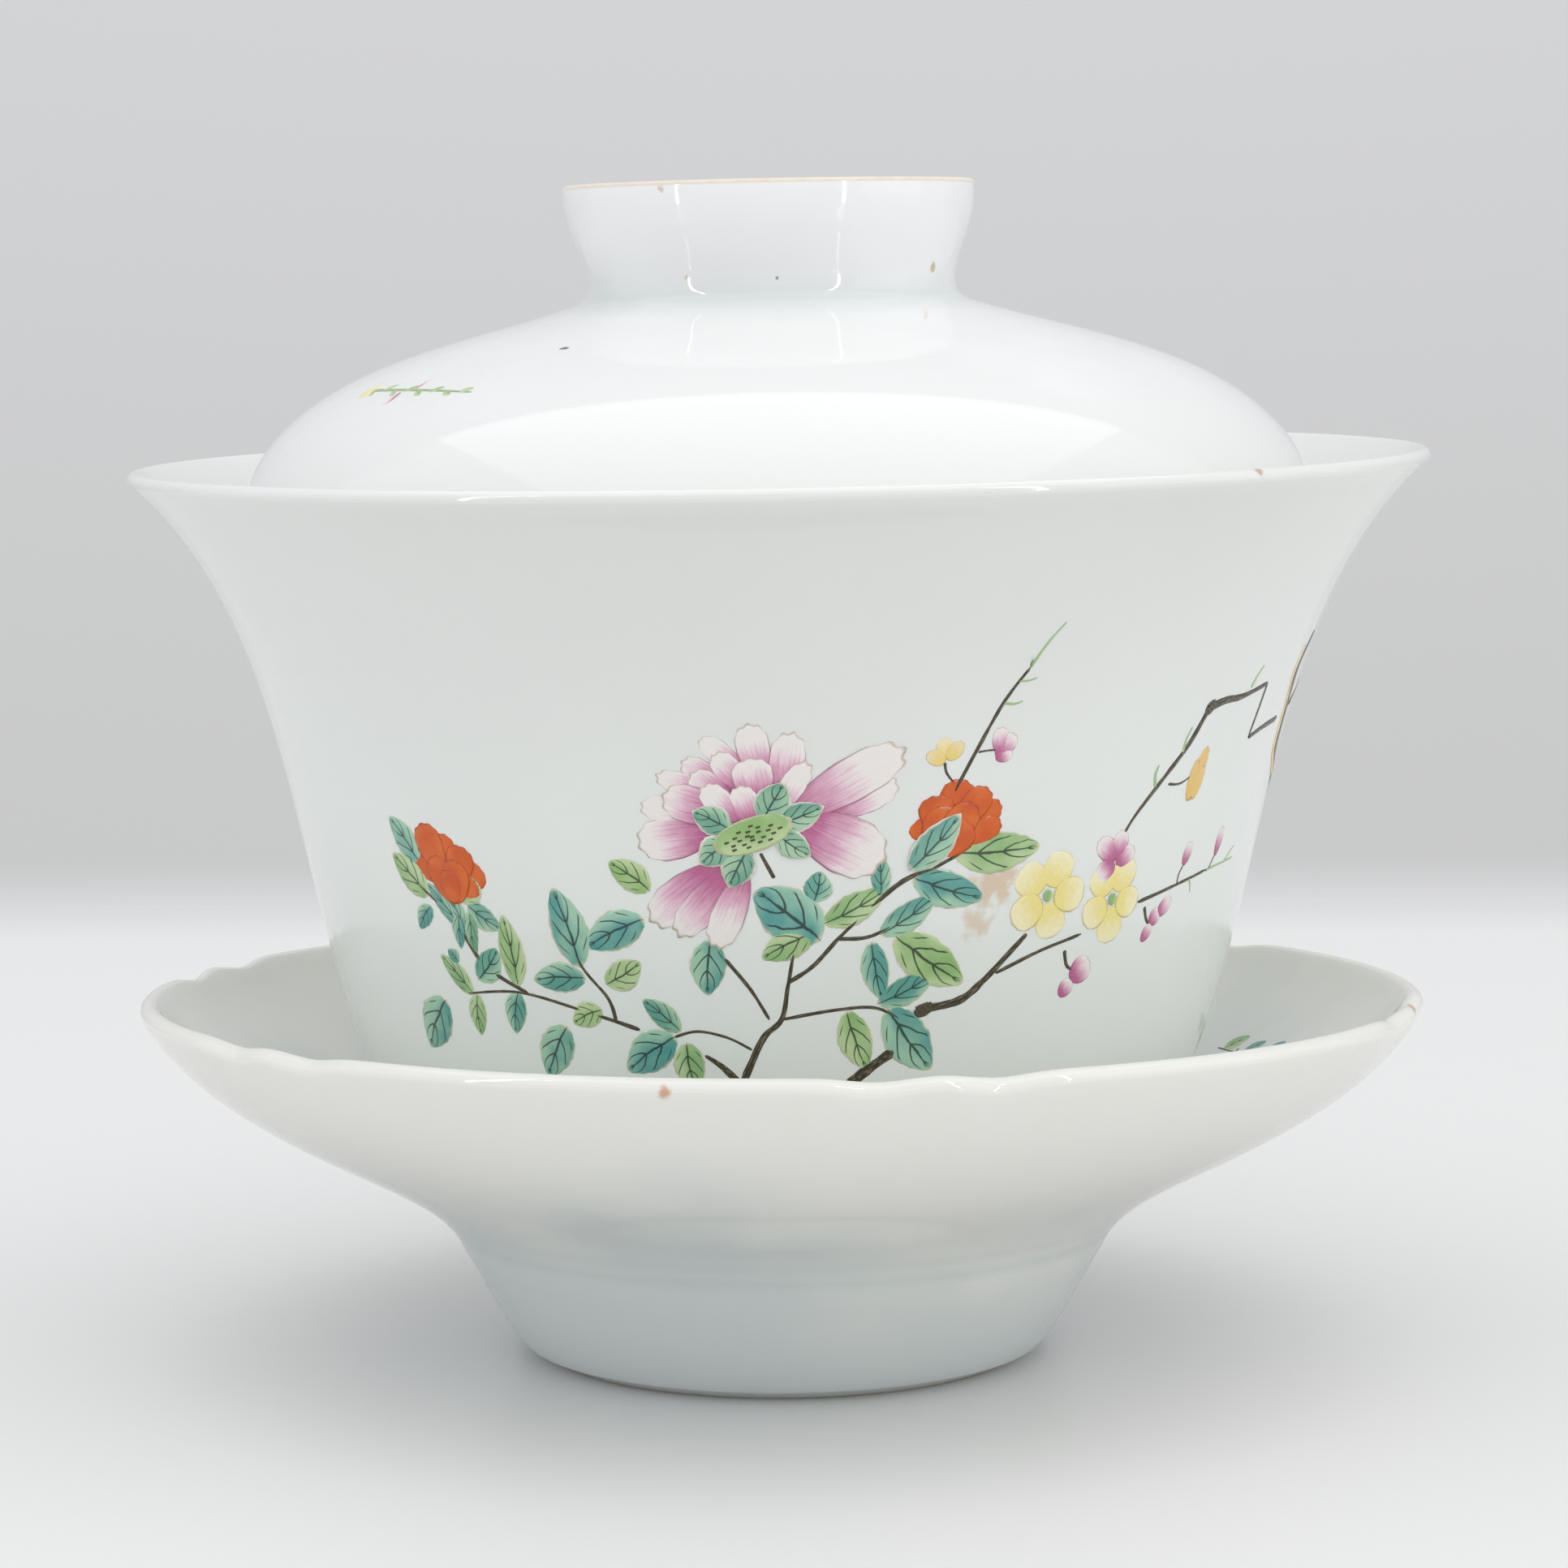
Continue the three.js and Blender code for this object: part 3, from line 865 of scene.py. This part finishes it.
# BOWL, PAINTED LEAVES
# Leaves in translucent blue-green and yellow-green enamel, each one wash of colour with ink veins, and the
# green heart of the big flower with the small leaflets that hold its petals.
leaf_bend = 0.15
over_the_red = 0.16
over_the_petals = 0.14
leaflet_share = 0.95
leaves = fresh_paint()
for base, tip, half_width, tone in (
    ((-31.3, 46), (-34, 49.7), 1.2, 0.9),
    ((-31.2, 43.4), (-34.6, 46.6), 1.25, 0.1),
    ((-28, 41), (-31, 44.5), 0.75, 0.9),
    ((-27.5, 41), (-29, 44), 0.7, 0.9),
    ((-27.4, 43.2), (-25.2, 45.6), 1.0, 0.2),
    ((-26.8, 43), (-23.7, 41.2), 0.95, 0.8),
    ((-31, 42.5), (-33, 40.5), 0.75, 0.9),
    ((-27.6, 43), (-28.4, 39.2), 0.75, 0.9),
    ((-26.6, 42.6), (-26.9, 38.6), 0.65, 0.5),
    ((-22.9, 36.6), (-23.4, 42.4), 1.1, 0.1),
    ((-16.7, 38.6), (-18.3, 44.9), 1.45, 0.95),
    ((-10.9, 42.6), (-15.9, 40.2), 1.35, 1.0),
    ((-10.2, 45), (-13.3, 47.2), 1.1, 0.0),
    ((-14.5, 37.2), (-11.4, 39.1), 1.1, 0.05),
    ((-16.4, 37.6), (-21.2, 37.2), 1.1, 0.85),
    ((-27, 36.8), (-24.4, 39.5), 1.1, 0.8),
    ((-28, 35.5), (-31, 38.5), 0.85, 0.2),
    ((-29, 38), (-30, 39), 0.6, 0.9),
    ((-31.6, 34.6), (-35.4, 30.3), 1.6, 0.9),
    ((-27.5, 35.5), (-28, 32), 0.85, 0.15),
    ((-23, 36), (-24, 32.5), 0.95, 0.85),
    ((-15.2, 35), (-18, 33.8), 0.95, 0.05),
    ((-18.7, 33.4), (-21.4, 29.1), 1.4, 0.9),
    ((-8.5, 33.5), (-11.5, 36), 0.9, 0.8),
    ((-9, 33), (-13.5, 30), 1.45, 1.0),
    ((-8, 32.5), (-7.5, 28.5), 1.2, 0.15),
    ((3, 41), (-2, 45), 2.0, 1.0),
    ((2.5, 44), (3, 46.5), 1.0, 0.9),
    ((3.4, 42.3), (8.2, 44.9), 1.1, 0.1),
    ((7.7, 44.4), (7.4, 47.8), 0.7, 0.85),
    ((2.5, 41.5), (-1.5, 39.5), 1.15, 0.1),
    ((-5.5, 41), (-6, 36.5), 1.3, 0.9),
    ((8.8, 35.1), (13, 29.9), 1.65, 0.95),
    ((5.4, 35), (7.3, 30.2), 1.25, 0.05),
    ((8, 35.6), (12.7, 38), 1.05, 0.85),
    ((7.2, 40.6), (8.3, 35.9), 1.0, 0.9),
    ((9.1, 41), (15.1, 36.9), 1.6, 0.05),
    ((7.9, 41.3), (12.2, 44.2), 1.05, 0.85),
    ((10.3, 45.7), (16.2, 43.7), 1.3, 0.9),
    ((13.5, 47.5), (20.7, 47.6), 1.5, 0.1),
):
    leaf(leaves, on_bowl, base, tip, half_width, tone, leaf_bend)
leaf(leaves, on_bowl, (10, 46.5), (13.5, 50.6), 1.15, 0.85, leaf_bend, over_the_red)
for base, tip, half_width in (
    ((-1.3, 50.8), (0.2, 53.6), 1.2),
    ((-3.8, 50), (-6.4, 51.4), 1.05),
    ((-3.8, 49), (-6, 47.2), 1.1),
    ((-2.5, 48.2), (-3.9, 45.4), 1.15),
    ((-0.2, 50.4), (3.1, 51.7), 1.0),
    ((-0.2, 49.6), (2.2, 47.8), 0.95),
):
    leaf(leaves, on_bowl, base, tip, half_width * leaflet_share, 0.7, 0.1, over_the_petals)
petal(leaves, on_bowl, (-5, 48.5), (0.9, 50.6), 1.4, -0.25, 0.185, 0, 0.03)
for middle in ((22, 43.5), (28.8, 42.6)):
    petal(leaves, on_bowl, (middle[0], middle[1] - 0.5), (middle[0], middle[1] + 0.5), 0.4, -0.1, 0.12)

# BOWL, PAINTED PEONY
# The big rose flower: long outer petals to the right and below, and a ruffled crown to the upper left. Each
# petal is brushed from deep rose at its root to thick white at its frilled rim, the nearest painted last.
rose = fresh_paint()
peony_rows = (
    (
        ((3.5, 51), (8.6, 53.4), 1.3),
        ((-5, 49.6), (-10.8, 48.8), 1.7),
        ((-4, 47.2), (-10.2, 42.4), 1.7),
        ((-5, 51.5), (-10.4, 51.6), 1.1),
        ((-4, 52.5), (-9, 54.2), 0.9),
        ((-3.5, 53), (-7, 55.4), 1.0),
        ((-2.6, 54.5), (-5.6, 57.2), 0.9),
        ((0, 52), (0.8, 57.6), 1.3),
    ),
    (
        ((0.6, 51), (8.9, 56), 1.75),
        ((1, 50.6), (7.8, 47), 2.3),
        ((-3.2, 47), (-8.2, 41.4), 1.35),
        ((-1.5, 54), (-2.2, 58.3), 1.2),
        ((-2.6, 53), (-4.6, 56), 1.0),
        ((-3.6, 52), (-6.4, 54.4), 1.1),
    ),
    (
        ((-2.6, 46.5), (-5.2, 40.4), 1.3),
        ((-1.6, 52), (-2.2, 55.6), 1.5),
        ((-3.8, 51), (-8.6, 52.6), 1.5),
        ((-0.8, 50.6), (2, 55.2), 0.95),
    ),
    (
        ((-3, 50.6), (-5.6, 53.4), 1.05),
        ((-2, 50.2), (-3, 53.4), 1.05),
    ),
)
for row, petals in enumerate(peony_rows):
    for number, (base, tip, half_width) in enumerate(petals):
        level = 0.03 * row + 0.004 * (number % 3)
        petal(rose, on_bowl, base, tip, half_width, 0.12 * (number % 3) - 0.08, level, 0.22, 0.035, 16)
for base, tip, half_width in (
    ((16, 55), (17.2, 56.8), 0.75),
    ((16.4, 55), (16, 57.4), 0.7),
    ((15.9, 54.9), (17.2, 55.4), 0.6),
    ((28.5, 45.8), (26.4, 47.6), 0.9),
    ((28.6, 45.8), (28.8, 48.2), 0.85),
    ((28.6, 45.4), (30.4, 46.6), 0.85),
    ((28.4, 45.6), (26.8, 44.4), 0.95),
    ((37.4, 44.4), (38, 46.3), 0.6),
    ((42.7, 44.6), (43.2, 47), 0.6),
    ((34, 40), (35.2, 41), 0.75),
    ((34.8, 40.6), (36.6, 41.8), 0.7),
    ((33.4, 38.6), (34.4, 40), 0.6),
    ((25.5, 36.4), (27.5, 37.6), 1.15),
    ((24.7, 35), (25.7, 36.3), 0.75),
):
    petal(rose, on_bowl, base, tip, half_width, 0.1, 0.01, 0.1, 0.03)

# BOWL, PAINTED RED BLOSSOMS
# Two half-open blossoms in opaque iron red, each a heap of rounded lobes with a darker line round every
# lobe, set in the tips of the branches.


def red_paint():
    """Opaque iron red, darker where it gathers round each lobe."""
    material = surface("iron_red_enamel", 0.24)
    wash = mottle(material, 420, 4)
    colour = blend(material, eased(material, wash, 0.3, 0.7), tint(202, 80, 14), tint(220, 106, 34))
    edge = to_edge(material)
    outline = calc(material, "MULTIPLY", eased(material, edge, 0.43, 0.49), 0.55)
    return fired(material, blend(material, outline, colour, tint(160, 56, 14)), wash)


iron_red_enamel = red_paint()
red = fresh_paint()
for root, tips in (
    (
        (-28, 43),
        ((-31.5, 47.2, 1.3), (-30.4, 49.4, 1.5), (-28.4, 48.8, 1.3), (-26.4, 47.8, 1.4), (-25, 46.4, 1.4),
         (-25.6, 45, 1.0), (-29.8, 46.8, 1.3), (-27.2, 46.6, 1.4), (-28.4, 45.8, 1.0)),
    ),
    (
        (12, 47.6),
        ((10.4, 50.4, 1.2), (11.6, 52.2, 1.4), (13.6, 53.4, 1.4), (15.6, 52.6, 1.2), (16.8, 51.4, 1.1),
         (17, 49.8, 1.0), (12.4, 51.4, 1.6), (14.6, 51.4, 1.4), (14.4, 50, 1.6)),
    ),
):
    for number, (across, up, half_width) in enumerate(tips):
        course = Vector((across - root[0], up - root[1]))
        base = Vector((across, up)) - course * (0.6 if number < 6 else 1)
        level = 0.025 * (number % 2) if number < 6 else 0.05 + 0.02 * (number - 6)
        petal(red, on_bowl, base, (across, up), half_width, 0, level, 0.2, 0.025, 12)

# BOWL, PAINTED YELLOW BLOSSOMS
# Winter-sweet flowers of five round petals in opaque pale yellow, paler and thicker at the rims, and the
# small yellow buds above them.


def yellow_paint():
    """Opaque stippled yellow, paler towards the rim; the tone turns it to old gold."""
    material = surface("yellow_enamel", 0.24)
    tone = tone_of(material)
    along = brush_place(material)[1]
    stipple = mottle(material, 2400, 2)
    rise = calc(material, "MULTIPLY_ADD", stipple, 0.5, calc(material, "MULTIPLY", along, 0.7))
    colour = blend(material, eased(material, rise, 0.35, 0.95), tint(240, 224, 142), tint(245, 238, 198))
    colour = blend(material, tone, colour, tint(226, 176, 84))
    edge = to_edge(material)
    outline = calc(material, "MULTIPLY", eased(material, edge, 0.455, 0.49), 0.5)
    return fired(material, blend(material, outline, colour, tint(190, 168, 112)), stipple, 0.07)


yellow_enamel = yellow_paint()
yellow = fresh_paint()


def five_petals(paint, lay, middle, reach, turn, squeeze, tone):
    """An open blossom, foreshortened across by squeeze."""
    for number in range(5):
        angle = turn + number * math.tau / 5
        away = Vector((math.sin(angle) * squeeze, math.cos(angle)))
        base = Vector(middle) + away * 0.6
        tip = Vector(middle) + away * reach
        width = reach * 0.4 * (squeeze + (1 - squeeze) * abs(away.y))
        petal(paint, lay, base, tip, width, tone, 0.03 * (number % 2), 0.1, 0.02, 12)


five_petals(yellow, on_bowl, (22, 43.5), 3.7, 0.35, 0.98, 0)
five_petals(yellow, on_bowl, (28.8, 42.6), 3.7, 0.5, 0.85, 0)
for base, tip, half_width, tone in (
    ((12, 54.8), (10.6, 55.6), 0.6, 0.35),
    ((12, 55), (11.8, 56.8), 0.7, 0.2),
    ((12.2, 55), (13.2, 56.4), 0.6, 0.35),
    ((36.2, 49.8), (37.2, 54.2), 0.8, 0.75),
    ((36, 49.8), (36.2, 53.2), 0.6, 0.75),
    ((36.6, 49.9), (37.3, 52.6), 0.6, 0.7),
):
    petal(yellow, on_bowl, base, tip, half_width, tone, 0.02 * (half_width < 0.7), 0, 0.03)

# BOWL, PAINTED BACK
# The far side carries a lighter spray: an old tan trunk rising from the right of the front, a flowering
# branch, leafy twigs and a few buds.
old_trunk = [(73, 35), (67, 42), (60, 48), (54.5, 51.5), (53.4, 55.5), (52.4, 59), (54, 62)]
stroke(line, on_bowl, old_trunk, 2.6, 1.2)
stroke(yellow, on_bowl, [(56, 50), (52.6, 52.4), (52.2, 56), (51.2, 59), (52, 61)], 0.8, 0.5, 0.3, 0.03)
stroke(yellow, on_bowl, [(70, 38), (66, 42.4), (60, 47)], 0.5, 0.4, 0.3, 0.03)
stroke(line, on_bowl, [(54, 56), (62, 58), (72, 55), (82, 57), (90, 54)], 1.0, 0.3)
stroke(line, on_bowl, [(72, 55), (76, 50), (82, 47)], 0.5, 0.25)
stroke(line, on_bowl, [(64, 57.5), (67, 61), (72, 63)], 0.45, 0.25)
for start, end, arch, count, size, tone in (
    ((72, 63), (79, 65), -0.8, 3, 3.4, 0.9),
    ((82, 47), (92, 44), 1.0, 5, 4.0, 0.1),
    ((90, 54), (98, 52), -1.0, 4, 4.0, 0.9),
    ((116, 30), (130, 42), 1.5, 7, 4.6, 0.9),
    ((121, 34), (112, 44), -1.2, 5, 4.2, 0.1),
    ((126, 38), (141, 37), -1.5, 6, 4.2, 0.8),
    ((160, 33), (176, 38), 2.0, 7, 4.2, 0.1),
    ((168, 36), (182, 30), 1.0, 5, 4.0, 0.9),
):
    leafy_twig(line, leaves, on_bowl, start, end, arch, count, size, tone)
for middle, turn in (((77, 53.5), 0.2), ((66, 55), 0.7), ((88, 57.5), 0.4)):
    five_petals(yellow, on_bowl, middle, 3.3, turn, 0.95, 0)
    petal(leaves, on_bowl, (middle[0], middle[1] - 0.5), (middle[0], middle[1] + 0.5), 0.4, -0.1, 0.1)
for middle, turn in (((131, 45), 0.1), ((178, 41), 0.6)):
    five_petals(rose, on_bowl, middle, 3.6, turn, 1.0, 0.0)
    petal(leaves, on_bowl, (middle[0], middle[1] - 0.6), (middle[0], middle[1] + 0.6), 0.55, -0.1, 0.1)
for across, up in ((84, 60), (96, 56), (110, 46), (143, 40), (186, 36), (61, 61)):
    petal(rose, on_bowl, (across, up), (across + 1, up + 2), 0.7, 0.1)
    petal(rose, on_bowl, (across - 0.2, up), (across - 1.2, up + 1.4), 0.6, 0.1)

enamel("bowl_painted_branches", line, line_enamel, "bowl")
enamel("bowl_painted_leaves", leaves, leaf_enamel, "bowl")
enamel("bowl_painted_peony", rose, rose_enamel, "bowl")
enamel("bowl_painted_red_blossoms", red, iron_red_enamel, "bowl")
enamel("bowl_painted_yellow_blossoms", yellow, yellow_enamel, "bowl")

# LID
# A domed lid that sits inside the bowl's mouth, with a hollow ring for a knob. Turned over, the ring is
# the lid's foot, so its top edge is bare porcelain too.
lid_low, lid_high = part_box("lid")
lid_wall = 2.2 * mm
knob_radius = 17.4 * mm
knob_wall = 2.6 * mm
knob_top = lid_high.z
knob_shift = 0.024
cup_radius = 12.9 * mm
cup_floor = knob_top - 7.4 * mm
dome_inside_top = 88.1 * mm
edge_inside = 45 * mm
edge_outside = 45.7 * mm
lean_start = 69 * mm

lid_dome = drawn_curve([(46.5, 67.9), (46.1, 84.9), (27.9, 86), (17, 89.7)], 60)
knob_side = drawn_curve(
    [(17, 89.7), (16.1, 90), (15.6, 90.5), (15.6, 91.7), (15.6, 93.2), (17.4, 96), (17.4, 98.9)], 12
)
lid_outline = softened_corners(
    [
        corner(0, dome_inside_top),
        *reversed(inner_wall(lid_dome, lid_wall, lid_wall)),
        corner(edge_inside, lid_low.z),
        corner(edge_outside, lid_low.z),
        *lid_dome,
        *knob_side[1:],
        corner(knob_radius, knob_top),
        corner(knob_radius - knob_wall, knob_top),
        corner(cup_radius, cup_floor),
        corner(0, cup_floor),
    ],
    0.6 * mm,
)


def lid_lean(place):
    """The lid sits level with the bowl's rim, and its knob was set on a little to the left."""
    return kiln_lean(place) - Vector((knob_shift * max(place.z - lean_start, 0), 0, 0))


lid_clay = thrown(
    lid_outline,
    288,
    lid_lean,
    lambda radius, height: height > knob_top - 0.35 * mm,
    lambda radius, height: hollow(height, 90.4 * mm, 1.6 * mm),
)
lid_glaze = glazed_porcelain(
    "lid_glaze",
    # painted light: the white colour brightens the knob at the top, over the dome's darker low colour
    tint(239, 240, 241),
    tint(231, 232, 232),
    (1.08, 1.2),
    [
        (lid_lean(around(28.1 * mm, -36, 86.6 * mm)), 0.4 * mm, tint(70, 66, 62)),
        (lid_lean(around(15.6 * mm, 2, 91.8 * mm)), 0.22 * mm, tint(120, 104, 84)),
        (lid_lean(around(15.8 * mm, 59, 92.4 * mm)), 0.5 * mm, tint(204, 188, 158)),
        (lid_lean(around(17.4 * mm, 8, 97.4 * mm)), 0.2 * mm, tint(150, 130, 100)),
        (lid_lean(around(15.7 * mm, -26, 92 * mm)), 0.3 * mm, tint(206, 186, 156)),
        (lid_lean(around(17.2 * mm, -30, 99.2 * mm)), 0.4 * mm, tint(206, 186, 156)),
    ],
)
lid = smooth_object("lid_porcelain", lid_clay, lid_glaze)
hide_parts("lid")
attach(lid, "lid")

# LID PAINTING
# Three short flowering twigs lie along the dome's shoulder, in the same enamels as the bowl's spray and
# fired onto the glaze with it: a green stem, a row of tiny leaves, rose buds and a yellow tip.
lid_girth = 40
twig_height = 83.45
on_lid = painted_on(lid_dome, [place.z for place in lid_dome], lid_girth * mm, lid_lean)
line, leaves, rose, yellow = fresh_paint(), fresh_paint(), fresh_paint(), fresh_paint()
for turn in (-50.5, 112, 209):
    across = turn * math.radians(lid_girth)
    stem = [(across - 8.5, 83.4), (across - 3, 83.5), (across + 2, 83.5), (across + 7, 83.4)]
    stroke(line, on_lid, stem, 0.3, 0.15, 0.8)
    for number in range(8):
        root = across - 8.5 + 2 * number
        side = 1 if number % 2 else -1
        reach = 1.1 - 0.08 * number
        tip = (root + 1.2, twig_height + side * reach * 0.4)
        leaf(leaves, on_lid, (root, twig_height), tip, 0.15, -0.2, 0, 0.01)
    petal(yellow, on_lid, (across - 9.8, 83.1), (across - 8.6, 83.8), 0.6, 0.1)
    petal(yellow, on_lid, (across - 8.8, 82.9), (across - 8.2, 83.5), 0.4, 0.1)
    petal(rose, on_lid, (across - 1.4, 83.7), (across - 0.5, 84), 0.45, -0.1)
    petal(rose, on_lid, (across - 2.4, 83.1), (across - 3.2, 82.6), 0.5, -0.1)
enamel("lid_painted_twigs", line, line_enamel, "lid")
enamel("lid_painted_leaves", leaves, leaf_enamel, "lid")
enamel("lid_painted_buds", rose, rose_enamel, "lid")
enamel("lid_painted_yellow_buds", yellow, yellow_enamel, "lid")
